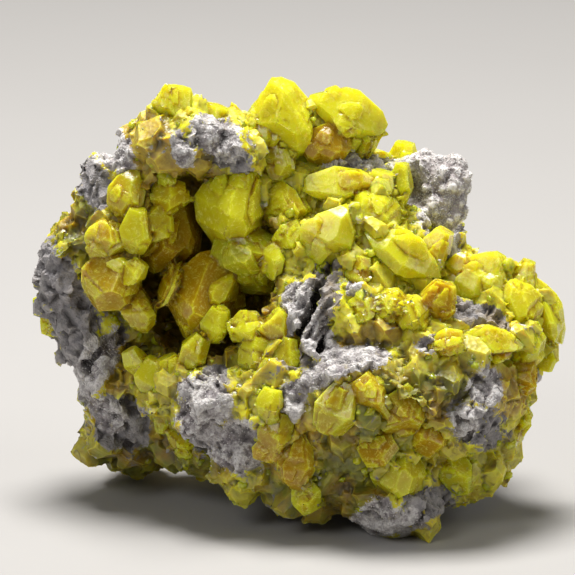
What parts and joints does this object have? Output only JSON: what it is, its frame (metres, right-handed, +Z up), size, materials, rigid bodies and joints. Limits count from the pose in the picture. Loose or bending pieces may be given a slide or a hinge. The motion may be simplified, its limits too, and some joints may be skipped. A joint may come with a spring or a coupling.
{
  "type": "sulfur crystal specimen",
  "caption": "Loose lump of rock with a crystal-lined hollow, a druse knob and groups of blocky yellow crystals; stands on three small feet for display.",
  "frame": {"origin": "bottom centre of the bounding box, on the table that the feet stand on", "axes": "+X to the right along the specimen's length, +Y away from the show side, +Z up"},
  "size_m": [0.0889, 0.0543, 0.073],
  "materials": {
    "limestone": "rough broken stone",
    "aragonite": "sugary druse",
    "sulfur": "resinous, translucent crystal"
  },
  "bodies": {
    "root": {"matrix": "limestone", "druse_knob": "aragonite", "summit_crystals": "sulfur", "vug_crystals": "sulfur", "floor_crystals": "sulfur", "ridge_crystals": "sulfur", "shoulder_crystals": "sulfur", "front_crystals": "sulfur", "amber_crystals": "sulfur", "knob_crystal": "sulfur"}
  },
  "joints": []
}
